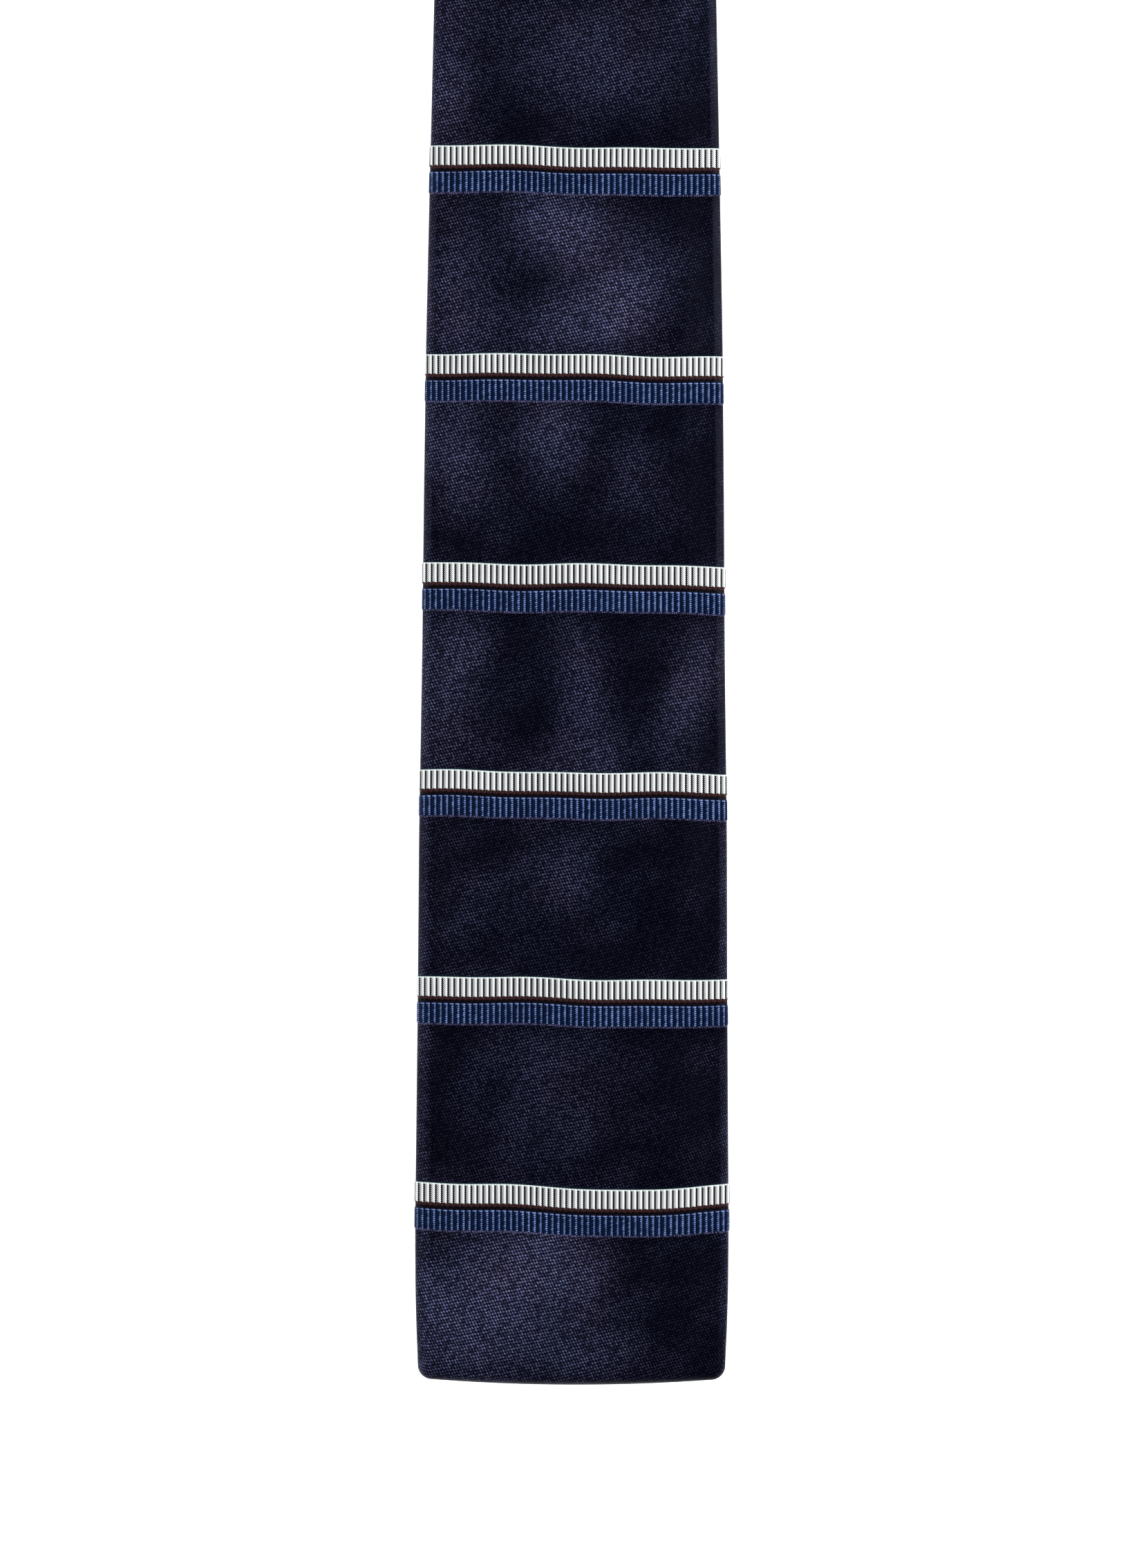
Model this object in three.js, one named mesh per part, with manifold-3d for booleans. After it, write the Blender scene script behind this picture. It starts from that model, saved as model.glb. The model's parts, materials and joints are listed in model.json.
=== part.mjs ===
// A slim, square-ended silk necktie, folded in four for storage, with its front blade on top and face up.
// Millimetres, +Z up. +Y runs from the front blade's tip to the far folds. The origin is under the middle.
import * as THREE from "three";
import { mergeVertices } from "three/addons/utils/BufferGeometryUtils.js";
import Module from "manifold-3d";

const wasm = await Module();
wasm.setup();

// Driving dimensions
const LAYER = 3.6; // thickness of the pressed tie: silk, interlining, silk
const SILK = 0.7; // one silk wall, with the allowances folded into it
const GAP = 0.3; // clearance between neighbouring pieces
const PLAY = 0.6; // air between two layers of the stack
const BLADE_PLAY = 1.6; // air under the front blade, where its loop and labels lie
const FRONT_TIP = -192; // Y of the front blade's square end
const NEAR_FOLD = -173; // Y where the neck fold starts to turn
const FAR_FOLD = 187.4; // Y where the front fold and the tail fold start to turn
const TAIL_TIP = -137; // Y of the tail's square end
const WIDTHS = [ // distance along the tie from the front tip, width there
  [0, 58.8], [30, 60], [105, 58.9], [200, 56.7], [264, 54], [380, 48.8], [560, 41],
  [700, 36.6], [800, 35], [980, 35], [1120, 36.4], [1300, 39.6], [1500, 41.5],
];
const END_BOW = 1.2; // how far the middle of a square end stands past its corners
const CORNER = 2.5; // corner rounding of the square ends
const SEAM_LEAN = 1; // slope of the two bias seams: 45 degrees
const FRONT_SEAM = -105.4; // Y of the front-to-neck seam on the third layer
const TAIL_SEAM = 132.8; // Y of the neck-to-tail seam on the second layer
const SLIT = 2; // width of the centre-back slit between the two flaps
const FRONT_APEX = 62; // height above the tip where the front blade's flaps meet
const TAIL_APEX = 46; // the same on the tail
const HEM = 8; // width of the hem round the opening between the flaps
const FRONT_TIPPING = 84; // length of the front blade's tipping
const TAIL_TIPPING = 62; // length of the tail's tipping
const SEAM_OPEN = 0.75; // half the width of a bias seam, along Y, which its thread lies in
const THREAD = 0.4; // thickness of a stitching thread
const THREAD_DEPTH = 0.15; // how far a stitch lies under the back's surface
const TACK_LENGTH = 5; // the bar tack that closes the flaps, across the tie
const TACK_WIDTH = 1.2;
const TACK_RISE = 4; // height of the bar tack above the point where the flaps meet
const KEEPER_HEIGHT = 13; // the keeper loop's band, along Y
const KEEPER_HALF = 25; // half the band's length, across the blade
const KEEPER_TAB = 3; // length of the tab that is sewn down at each end of the band
const KEEPER_Y = FRONT_TIP + 205; // middle of the keeper loop
const LABEL_Y = FRONT_TIP + 236; // middle of the name label
const CARE_Y = FRONT_TIP + 264; // middle of the care label
const FOLD_SINK = 0.1; // a fold is this much thinner than the flat layers, so that it stays off the surface

const TURN = Math.PI * (LAYER + PLAY) / 2; // length of one fold, along its middle
const MIDDLE = LAYER - SILK - GAP; // top of the interlining, measured from the face side

const silkMaterial = new THREE.MeshStandardMaterial({ color: 0x1b1c33, roughness: 0.45 });
const liningMaterial = new THREE.MeshStandardMaterial({ color: 0x14152a, roughness: 0.6 });
const woolMaterial = new THREE.MeshStandardMaterial({ color: 0xd9d4c6, roughness: 0.95 });
const threadMaterial = new THREE.MeshStandardMaterial({ color: 0x15172e, roughness: 0.7 });
const labelMaterial = new THREE.MeshStandardMaterial({ color: 0x23264a, roughness: 0.6 });
const careMaterial = new THREE.MeshStandardMaterial({ color: 0xe9e8e3, roughness: 0.6 });

// The four layers, from the bottom of the stack. run(y) is the distance along the tie from the front tip.
const blade = {
  z: 3 * LAYER + 2 * PLAY + BLADE_PLAY, faceUp: true, from: FRONT_TIP, to: FAR_FOLD,
  run: (y) => y - FRONT_TIP,
};
const frontUpper = {
  z: 2 * (LAYER + PLAY), faceUp: false, from: NEAR_FOLD, to: FAR_FOLD,
  run: (y) => blade.run(FAR_FOLD) + TURN + FAR_FOLD - y,
};
const tailUpper = {
  z: LAYER + PLAY, faceUp: true, from: NEAR_FOLD, to: FAR_FOLD,
  run: (y) => frontUpper.run(NEAR_FOLD) + TURN + y - NEAR_FOLD,
};
const tail = {
  z: 0, faceUp: false, from: TAIL_TIP, to: FAR_FOLD,
  run: (y) => tailUpper.run(FAR_FOLD) + TURN + FAR_FOLD - y,
};

function halfWidth(run) {
  const next = WIDTHS.findIndex(([at]) => at > run);
  const [from, narrow] = WIDTHS[next - 1];
  const [to, wide] = WIDTHS[next];
  return (narrow + ((wide - narrow) * (run - from)) / (to - from)) / 2;
}

// The plan of a layer, or of what lies inside it when inset is more than 0. A square end is bowed.
function plan(layer, { from = layer.from, to = layer.to, inset = 0, square = false }) {
  const low = Math.min(layer.run(from), layer.run(to));
  const high = Math.max(layer.run(from), layer.run(to));
  const sideRuns = WIDTHS.map(([at]) => at).filter((at) => at > low + CORNER * 3 && at < high);
  const rightSide = [low, ...sideRuns, high].map((at) => {
    const y = from + (layer.run(from) < layer.run(to) ? at - low : high - at);
    return new THREE.Vector2(halfWidth(at) - inset, y);
  });
  rightSide.sort((a, b) => a.y - b.y);
  const shape = new THREE.Shape();
  const [first] = rightSide;
  if (square) {
    const start = from + END_BOW + CORNER;
    shape.moveTo(-first.x, start);
    shape.quadraticCurveTo(-first.x, from + END_BOW, CORNER - first.x, from + END_BOW * 0.75);
    shape.quadraticCurveTo(0, from - END_BOW * 0.75, first.x - CORNER, from + END_BOW * 0.75);
    shape.quadraticCurveTo(first.x, from + END_BOW, first.x, start);
  } else {
    shape.moveTo(-first.x, from);
    shape.lineTo(first.x, from);
  }
  rightSide.slice(1).forEach((p) => shape.lineTo(p.x, p.y));
  rightSide.slice(1).reverse().forEach((p) => shape.lineTo(-p.x, p.y));
  return shape;
}

function slab(shape, low, high) {
  const made = new THREE.ExtrudeGeometry(shape, {
    depth: high - low, bevelEnabled: false, curveSegments: 6,
  });
  return made.translate(0, 0, low);
}

function box(x0, x1, y0, y1, z0, z1) {
  const made = new THREE.BoxGeometry(x1 - x0, y1 - y0, z1 - z0);
  return made.translate((x0 + x1) / 2, (y0 + y1) / 2, (z0 + z1) / 2);
}

function solid(geometry) {
  const bare = geometry.clone();
  bare.deleteAttribute("normal");
  bare.deleteAttribute("uv");
  const merged = mergeVertices(bare, 1e-4);
  const { position } = merged.attributes;
  return new wasm.Manifold(new wasm.Mesh({
    numProp: 3, vertProperties: position.array, triVerts: new Uint32Array(merged.index.array),
  }));
}

function geometryOf(manifold) {
  const made = manifold.getMesh();
  const geometry = new THREE.BufferGeometry();
  geometry.setAttribute("position", new THREE.BufferAttribute(made.vertProperties, 3));
  geometry.setIndex(new THREE.BufferAttribute(made.triVerts, 1));
  geometry.computeVertexNormals();
  return geometry;
}

function piece(name, geometry, material) {
  const mesh = new THREE.Mesh(geometry, material);
  mesh.name = name;
  return mesh;
}

// The opening in the back of a square end, where the flaps part and show the tipping.
function parting(layer, apex) {
  const low = layer.from + HEM;
  const wide = halfWidth(layer.run(low)) - HEM;
  const shape = new THREE.Shape();
  shape.moveTo(-wide, low);
  shape.lineTo(wide, low);
  shape.lineTo(SLIT / 2, layer.from + apex);
  shape.lineTo(-SLIT / 2, layer.from + apex);
  return slab(shape, MIDDLE, LAYER + 1);
}

// The silk envelope of one layer: face at z = 0, back at z = LAYER, with a slit down the middle of the back.
function envelope(layer, { apex = 0 } = {}) {
  const square = apex > 0;
  const closedBy = square ? SILK : -1;
  const inside = plan(layer, { from: layer.from + closedBy, to: layer.to + 1, inset: SILK, square });
  const slitFrom = square ? layer.from + apex - 1 : layer.from - 1;
  const slit = box(-SLIT / 2, SLIT / 2, slitFrom, layer.to + 1, MIDDLE, LAYER + 1);
  let made = solid(slab(plan(layer, { square }), 0, LAYER))
    .subtract(solid(slab(inside, SILK, LAYER - SILK)))
    .subtract(solid(slit));
  if (square) made = made.subtract(solid(parting(layer, apex))).subtract(solid(tackNotch(layer, apex)));
  return made;
}

// The notch in the flaps that a bar tack lies in.
function tackNotch(layer, apex) {
  const middle = layer.from + apex + TACK_RISE;
  const [x, y] = [TACK_LENGTH / 2 + GAP, TACK_WIDTH / 2 + GAP];
  return box(-x, x, middle - y, middle + y, MIDDLE, LAYER + 1);
}

function barTack(layer, apex) {
  const middle = layer.from + apex + TACK_RISE;
  const [x, y] = [TACK_LENGTH / 2, TACK_WIDTH / 2];
  const top = LAYER - THREAD_DEPTH;
  return box(-x, x, middle - y, middle + y, top - THREAD, top);
}

// The hand slip stitch: one long loose thread, laid to and fro in the centre-back slit.
function slipStitch(layer, { apex = 0 } = {}) {
  const from = apex > 0 ? layer.from + apex + TACK_RISE + TACK_WIDTH : layer.from + GAP;
  const top = LAYER - THREAD_DEPTH;
  return box(-THREAD, THREAD, from, layer.to - GAP, top - THREAD, top);
}

// The interlining, thinned behind a square end to leave room for the tipping.
function interlining(layer, { tippingLength = 0 } = {}) {
  const square = tippingLength > 0;
  const inset = SILK + GAP;
  const from = square ? layer.from + inset : layer.from;
  const made = solid(slab(plan(layer, { from, inset, square }), SILK + GAP, MIDDLE));
  if (!square) return made;
  const pocketEnd = layer.from + inset + tippingLength + GAP;
  return made.subtract(solid(box(-40, 40, layer.from - 1, pocketEnd, MIDDLE - 2 * GAP, MIDDLE + 1)));
}

function tipping(layer, length) {
  const inset = SILK + GAP;
  const from = layer.from + inset;
  return slab(plan(layer, { from, to: from + length, inset, square: true }), MIDDLE - GAP, MIDDLE);
}

// The half of the plan on one side of a bias seam, used to share an envelope between two pieces of silk.
function besideSeam(seamY, side) {
  const half = 40;
  const edge = seamY + side * SEAM_OPEN;
  const shape = new THREE.Shape();
  shape.moveTo(-half, edge - half * SEAM_LEAN);
  shape.lineTo(half, edge + half * SEAM_LEAN);
  shape.lineTo(half, edge + side * 1000);
  shape.lineTo(-half, edge + side * 1000);
  return solid(slab(shape, -1, LAYER + 1));
}

function seamThread(seamY, layer) {
  const reach = halfWidth(layer.run(seamY)) - SILK - 2 * GAP;
  const made = new THREE.BoxGeometry(2 * reach * Math.hypot(1, SEAM_LEAN), THREAD, THREAD);
  return made.rotateZ(Math.atan(SEAM_LEAN)).translate(0, seamY, SILK / 2);
}

// A hairpin about the X axis, from the lower layer's end round to the upper one's, bulging to +Y.
function hairpin(inner, outer, half) {
  const ring = new THREE.Shape();
  ring.absarc(0, 0, outer, -Math.PI / 2, Math.PI / 2, false);
  ring.absarc(0, 0, inner, Math.PI / 2, -Math.PI / 2, true);
  const made = new THREE.ExtrudeGeometry(ring, { depth: 2 * half, bevelEnabled: false, curveSegments: 14 });
  // the ring's own x becomes Y and its y becomes Z
  const turned = new THREE.Matrix4().makeBasis(
    new THREE.Vector3(0, 1, 0), new THREE.Vector3(0, 0, 1), new THREE.Vector3(1, 0, 0),
  );
  return made.applyMatrix4(turned).translate(-half, 0, 0);
}

// The silk round one fold. The slit runs on along the back, which is inside some folds and outside others.
function foldSilk(inner, half, backOutside) {
  const outer = inner + LAYER - FOLD_SINK;
  const hollow = hairpin(inner + SILK, outer - SILK, half - SILK);
  const longer = solid(hollow).add(solid(hollow.clone().translate(0, -0.2, 0)));
  const slit = backOutside
    ? hairpin(outer - SILK - 0.1, outer + 1, SLIT / 2)
    : hairpin(inner * 0.2, inner + SILK + 0.1, SLIT / 2);
  return solid(hairpin(inner, outer, half))
    .subtract(longer)
    .subtract(solid(slit).add(solid(slit.clone().translate(0, -0.2, 0))));
}

function foldInterlining(inner, half) {
  const wall = SILK + GAP;
  return hairpin(inner + wall, inner + LAYER - FOLD_SINK - wall, half - wall);
}

// A band across the back of the blade, raised in the middle for the tail to pass, tacked down at both ends.
function keeperBand() {
  const thick = 0.4;
  const tab = KEEPER_HALF - KEEPER_TAB;
  const low = LAYER + GAP;
  const high = low + thick;
  const underside = [[tab, low], [tab - 1, high], [1 - tab, high], [-tab, low], [-KEEPER_HALF, low]];
  const topside = [...underside].reverse().map(([x, z]) => [x, z + thick]);
  const corners = [[KEEPER_HALF, low], ...underside, ...topside, [KEEPER_HALF, low + thick]];
  const outline = new THREE.Shape(corners.map(([x, z]) => new THREE.Vector2(x, z)));
  const made = new THREE.ExtrudeGeometry(outline, { depth: KEEPER_HEIGHT, bevelEnabled: false });
  return made.rotateX(Math.PI / 2).translate(0, KEEPER_HEIGHT / 2, 0);
}

function label(width, height) {
  return box(-width / 2, width / 2, -height / 2, height / 2, LAYER + GAP, LAYER + 2 * GAP);
}

// A layer's group: its pieces are drawn face down, and a layer that lies face up is turned over about Y.
function layerGroup(layer, pieces) {
  const group = new THREE.Group();
  group.position.z = layer.faceUp ? layer.z + LAYER : layer.z;
  group.rotation.y = layer.faceUp ? Math.PI : 0;
  group.add(...pieces);
  return group;
}

function foldGroup(y, z, towards, pieces) {
  const group = new THREE.Group();
  group.position.set(0, y + towards * GAP, z);
  group.rotation.z = towards > 0 ? 0 : Math.PI;
  group.add(...pieces);
  return group;
}

function bladePieces() {
  const wool = geometryOf(interlining(blade, { tippingLength: FRONT_TIPPING }));
  const keeper = piece("keeper_loop", keeperBand(), silkMaterial);
  const nameLabel = piece("name_label", label(38, 22), labelMaterial);
  const careLabel = piece("care_label", label(16, 24), careMaterial);
  keeper.position.y = KEEPER_Y;
  nameLabel.position.y = LABEL_Y;
  careLabel.position.y = CARE_Y;
  return [
    piece("front_blade_silk", geometryOf(envelope(blade, { apex: FRONT_APEX })), silkMaterial),
    piece("front_blade_interlining", wool, woolMaterial),
    piece("front_tipping", tipping(blade, FRONT_TIPPING), liningMaterial),
    piece("front_bar_tack", barTack(blade, FRONT_APEX), threadMaterial),
    piece("front_blade_slip_stitch", slipStitch(blade, { apex: FRONT_APEX }), threadMaterial),
    keeper, nameLabel, careLabel,
  ];
}

function frontUpperPieces() {
  const whole = envelope(frontUpper);
  return [
    piece("front_upper_silk", geometryOf(whole.intersect(besideSeam(FRONT_SEAM, 1))), silkMaterial),
    piece("neck_silk_front", geometryOf(whole.intersect(besideSeam(FRONT_SEAM, -1))), silkMaterial),
    piece("front_upper_interlining", geometryOf(interlining(frontUpper)), woolMaterial),
    piece("front_seam_thread", seamThread(FRONT_SEAM, frontUpper), threadMaterial),
    piece("front_upper_slip_stitch", slipStitch(frontUpper), threadMaterial),
  ];
}

function tailUpperPieces() {
  const whole = envelope(tailUpper);
  return [
    piece("neck_silk_tail", geometryOf(whole.intersect(besideSeam(TAIL_SEAM, -1))), silkMaterial),
    piece("tail_upper_silk", geometryOf(whole.intersect(besideSeam(TAIL_SEAM, 1))), silkMaterial),
    piece("tail_upper_interlining", geometryOf(interlining(tailUpper)), woolMaterial),
    piece("tail_seam_thread", seamThread(TAIL_SEAM, tailUpper), threadMaterial),
    piece("tail_upper_slip_stitch", slipStitch(tailUpper), threadMaterial),
  ];
}

function tailPieces() {
  const wool = geometryOf(interlining(tail, { tippingLength: TAIL_TIPPING }));
  return [
    piece("tail_silk", geometryOf(envelope(tail, { apex: TAIL_APEX })), silkMaterial),
    piece("tail_interlining", wool, woolMaterial),
    piece("tail_tipping", tipping(tail, TAIL_TIPPING), liningMaterial),
    piece("tail_bar_tack", barTack(tail, TAIL_APEX), threadMaterial),
    piece("tail_slip_stitch", slipStitch(tail, { apex: TAIL_APEX }), threadMaterial),
  ];
}

// The pieces round one fold: its silk and its interlining.
function foldPieces(name, play, half, backOutside) {
  return [
    piece(name + "_fold_silk", geometryOf(foldSilk(play / 2, half, backOutside)), silkMaterial),
    piece(name + "_fold_interlining", foldInterlining(play / 2, half), woolMaterial),
  ];
}

const frontFoldHalf = halfWidth(blade.run(FAR_FOLD));
const neckFoldHalf = halfWidth(frontUpper.run(NEAR_FOLD));
const tailFoldHalf = halfWidth(tailUpper.run(FAR_FOLD));

const necktie = new THREE.Group();
necktie.add(
  layerGroup(tail, tailPieces()),
  layerGroup(tailUpper, tailUpperPieces()),
  layerGroup(frontUpper, frontUpperPieces()),
  layerGroup(blade, bladePieces()),
  foldGroup(FAR_FOLD, LAYER + PLAY / 2, 1, foldPieces("tail", PLAY, tailFoldHalf, false)),
  foldGroup(NEAR_FOLD, tailUpper.z + LAYER + PLAY / 2, -1, foldPieces("neck", PLAY, neckFoldHalf, true)),
  foldGroup(FAR_FOLD, blade.z - BLADE_PLAY / 2, 1, foldPieces("front", BLADE_PLAY, frontFoldHalf, false)),
);

export default necktie;
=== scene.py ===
"""A slim square-ended silk necktie, folded in four, with its front blade on top.

Every soft piece is drawn in cloth space and then laid along the folded tie: x runs across the tie,
s along it from the front tip, and h from 0 at the face to THICK at the back.
"""

import json
import math

import bmesh
import bpy
import numpy as np
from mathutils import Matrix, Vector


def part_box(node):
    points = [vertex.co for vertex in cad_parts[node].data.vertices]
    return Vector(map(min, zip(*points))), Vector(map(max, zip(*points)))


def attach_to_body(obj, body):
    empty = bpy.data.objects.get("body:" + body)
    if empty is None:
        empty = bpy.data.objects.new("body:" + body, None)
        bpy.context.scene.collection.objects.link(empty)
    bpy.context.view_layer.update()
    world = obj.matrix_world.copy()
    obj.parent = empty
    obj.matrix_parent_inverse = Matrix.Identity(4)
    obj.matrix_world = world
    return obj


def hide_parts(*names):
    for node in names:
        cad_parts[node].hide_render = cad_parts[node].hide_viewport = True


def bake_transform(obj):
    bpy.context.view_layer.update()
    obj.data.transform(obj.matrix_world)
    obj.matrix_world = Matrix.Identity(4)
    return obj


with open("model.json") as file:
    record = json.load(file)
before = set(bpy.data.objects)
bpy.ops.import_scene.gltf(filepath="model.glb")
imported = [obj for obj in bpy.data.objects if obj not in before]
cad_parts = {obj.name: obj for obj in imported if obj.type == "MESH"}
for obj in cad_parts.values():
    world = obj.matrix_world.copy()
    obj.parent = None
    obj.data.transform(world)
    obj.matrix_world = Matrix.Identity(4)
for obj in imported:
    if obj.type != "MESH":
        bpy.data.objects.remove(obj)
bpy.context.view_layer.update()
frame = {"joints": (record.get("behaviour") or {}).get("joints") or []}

MM = 0.001

# ---- sizes that the frame gives
blade_low, blade_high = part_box("front_blade_silk")
upper_low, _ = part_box("neck_silk_front")
neck_low, neck_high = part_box("neck_silk_tail")
tail_low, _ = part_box("tail_silk")
keeper_low, keeper_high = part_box("keeper_loop")
name_low, name_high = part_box("name_label")
care_low, care_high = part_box("care_label")
THICK = blade_high.z - blade_low.z
ROLL = THICK / 2
HINGES = {joint["name"]: joint["pos_m"] for joint in frame["joints"]}
_, FRONT_FOLD_Y, FRONT_FOLD_Z = HINGES["front_fold"]
_, NECK_FOLD_Y, NECK_FOLD_Z = HINGES["neck_fold"]
_, TAIL_FOLD_Y, TAIL_FOLD_Z = HINGES["tail_fold"]

# ---- the tie's own sizes
WIDTHS = [  # distance along the tie from the front tip, width there, mm
    (0, 58.8), (8, 59.3), (18, 59.8), (30, 60), (45, 59.7), (75, 59.2), (105, 58.9), (140, 57.9),
    (170, 57.4), (200, 56.7), (232, 55.4), (264, 54), (380, 48.8), (560, 41), (700, 36.6), (800, 35),
    (980, 35), (1120, 36.4), (1300, 39.6), (1500, 41.5),
]
END_BOW = 1.2 * MM  # how far the middle of a square end stands past its corners
CORNER = 2.5 * MM
HEM = 8 * MM
FRONT_APEX = 62 * MM  # height above the tip where the flaps meet
TAIL_APEX = 46 * MM
FRONT_TIPPING = 84 * MM
TAIL_TIPPING = 62 * MM
FRONT_SEAM_Y = -105.4 * MM  # where the two bias seams cross the tie's axis
TAIL_SEAM_Y = 132.8 * MM
SEAM_FADE = 52 * MM  # the rows of the mesh turn from the bias to straight over this length
SILK = 0.35 * MM  # thickness of the silk
RIB_ROOM = 0.24 * MM  # a pressed layer is set in by this much, so that its ribs stay within THICK
WOOL_LOW, WOOL_HIGH = 1.0 * MM, 2.5 * MM  # heights of the wool's two sides
WOOL_THIN = 1.95 * MM  # height of its back where a tipping lies on it
WOOL_INSET = 1.6 * MM  # how far it stays inside the tie's outline
WOOL_END = 0.9 * MM  # its distance from a square end
TIPPING_END, TIPPING_INSET = 1.0 * MM, 1.4 * MM
LAP = 1.0 * MM  # how far each flap passes the middle of the back
LAP_STEP = 0.38 * MM  # how far the lower flap is tucked under the upper one
RIB = 1.13 * MM  # pitch of the ribs in a stripe
REPEAT = 39.65 * MM  # the pair of stripes comes once in this length
BLUE = (29.2 * MM, 33.1 * MM)  # the blue stripe's edges in the repeat
WHITE = (34.2 * MM, 38.0 * MM)
NECK_STRIPES = 742 * MM  # where a repeat starts on the neck piece, so that its fold is plain satin
TAIL_STRIPES = 1109 * MM
THREAD = 0.11 * MM  # radius of a sewing thread
SLIP_STITCH = 8 * MM  # length of one slip stitch
SLIP_CATCH = [  # along the stitch, past the upper flap's edge, above the back, mm
    (0, 0.5, -0.65), (2.9, 0.5, -0.65), (3.3, -0.4, -0.62), (3.5, -0.55, -0.5), (4.1, 0, -0.2),
    (4.5, 0.42, -0.16), (4.8, 0.52, -0.4), (5.1, 0.5, -0.65), (8, 0.5, -0.65),
]
SHEEN = [  # patches of painted sheen on the blade's satin: place across and along, half sizes, lean, strength
    (4, 254, 13, 10, 0, 0.6), (-25, 248, 5, 16, 0, 0.7), (-2, 221, 9, 6, -20, 1.3),
    (10, 208, 5.5, 9, -40, 0.95), (0, 203, 11, 6, 10, 0.75), (-22, 206, 6, 14, 0, 0.65),
    (-4, 181, 6, 7, 0, 0.85), (-23, 178, 6, 11, 20, 0.7), (12, 173, 5, 9, 0, 0.35),
    (-23, 141, 7, 6, -30, 0.4), (-24, 131, 6, 13, -10, 0.52), (2, 131, 4.5, 15, 10, 0.6),
    (-3, 119, 16, 4, 0, 0.28), (22, 133, 4, 11, -20, 0.74), (-2, 98, 7, 8, 0, 0.45),
    (-20, 90, 8, 12, 0, 0.22), (-5, 56, 12, 14, 0, 0.35), (-19, 14, 13, 11, 20, 1.25),
    (-3, 24, 9, 7, -20, 0.95), (3, 7, 9, 5, 0, 0.6),
]

# ---- the camera
VIEW_HEIGHT = 299.1 * MM  # what the frame shows of the top of the tie
VIEW_CENTRE = (-0.7 * MM, -77.2 * MM)
VIEW_LEAN = 0.0028  # radians
LENS, SENSOR = 110, 36


def smooth(t):
    t = np.clip(t, 0, 1)
    return t * t * (3 - 2 * t)


def half_width(s):
    at, width = np.array(WIDTHS, float).T * MM
    return np.interp(s, at, width) / 2


# ---- the folded path
class Flat:
    """A flat layer. The face is at face_z, and the back is below it where the layer lies face up."""

    def __init__(self, start, length, y, step, face_z, face_up):
        self.start, self.length, self.y, self.step = start, length, y, step
        self.face_z, self.face_up = face_z, face_up

    def place(self, s, h):
        y = self.y + self.step * (s - self.start)
        return y, self.face_z - h if self.face_up else self.face_z + h


class Turn:
    """A fold: half a turn about the hinge at (y, z), from the layer above to the layer below."""

    def __init__(self, start, y, z, inner, towards, face_outside):
        self.start, self.y, self.z, self.inner = start, y, z, inner
        self.towards, self.face_outside = towards, face_outside
        self.length = math.pi * (inner + ROLL)

    def place(self, s, h):
        radius = self.inner + (THICK - h if self.face_outside else h)
        angle = math.pi * (0.5 - (s - self.start) / self.length)
        return self.y + self.towards * radius * np.cos(angle), self.z + radius * np.sin(angle)


def folded_path():
    parts = []

    def add(kind, *rest):
        start = parts[-1].start + parts[-1].length if parts else 0
        parts.append(kind(start, *rest))

    add(Flat, FRONT_FOLD_Y - blade_low.y, blade_low.y, 1, blade_high.z, True)
    add(Turn, FRONT_FOLD_Y, FRONT_FOLD_Z, blade_low.z - FRONT_FOLD_Z, 1, True)
    add(Flat, FRONT_FOLD_Y - NECK_FOLD_Y, FRONT_FOLD_Y, -1, upper_low.z, False)
    add(Turn, NECK_FOLD_Y, NECK_FOLD_Z, upper_low.z - NECK_FOLD_Z, -1, False)
    add(Flat, TAIL_FOLD_Y - NECK_FOLD_Y, NECK_FOLD_Y, 1, neck_high.z, True)
    add(Turn, TAIL_FOLD_Y, TAIL_FOLD_Z, neck_low.z - TAIL_FOLD_Z, 1, True)
    add(Flat, TAIL_FOLD_Y - tail_low.y, TAIL_FOLD_Y, -1, tail_low.z, False)
    return parts


PATH = folded_path()
_, FRONT_TURN, UPPER_LAYER, NECK_TURN, NECK_LAYER, TAIL_TURN, TAIL_LAYER = PATH
TIE_LENGTH = TAIL_LAYER.start + TAIL_LAYER.length
FRONT_SEAM = UPPER_LAYER.start + FRONT_FOLD_Y - FRONT_SEAM_Y
TAIL_SEAM = NECK_LAYER.start + TAIL_SEAM_Y - NECK_FOLD_Y


def lay(x, s, h):
    """Points of the row frame for points of cloth space."""
    x, s, h = np.broadcast_arrays(np.asarray(x, float), s, h)
    y, z = np.array(s), np.array(h)
    which = np.searchsorted([part.start for part in PATH[1:]], s, side="right")
    for i, part in enumerate(PATH):
        here = which == i
        y[here], z[here] = part.place(s[here], h[here])
    return np.stack([x, y, z], -1)


# ---- meshes
def mesh_object(name, points, faces, material, uv, haze=None):
    data = bpy.data.meshes.new(name)
    data.from_pydata(points.reshape(-1, 3).tolist(), [], faces)
    # haze holds a painted sheen level at each point, which the satin's colour follows
    if haze is not None:
        values = data.attributes.new("haze", "FLOAT", "POINT").data
        values.foreach_set("value", haze.ravel().astype(np.float32))
    corner = np.zeros(len(data.loops), np.int32)
    data.loops.foreach_get("vertex_index", corner)
    cloth = data.uv_layers.new(name="cloth")
    cloth.data.foreach_set("uv", uv.reshape(-1, 2)[corner].astype(np.float32).ravel())
    bm = bmesh.new()
    bm.from_mesh(data)
    bmesh.ops.recalc_face_normals(bm, faces=bm.faces)
    bm.to_mesh(data)
    bm.free()
    data.polygons.foreach_set("use_smooth", [True] * len(data.polygons))
    data.materials.append(material)
    made = bpy.data.objects.new(name, data)
    bpy.context.scene.collection.objects.link(made)
    return made


def ring_faces(rows, count, first=0):
    """Quads between closed rings of count points."""
    faces = []
    for i in range(rows - 1):
        a, b = first + i * count, first + (i + 1) * count
        faces += [(a + j, a + (j + 1) % count, b + (j + 1) % count, b + j) for j in range(count)]
    return faces


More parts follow.
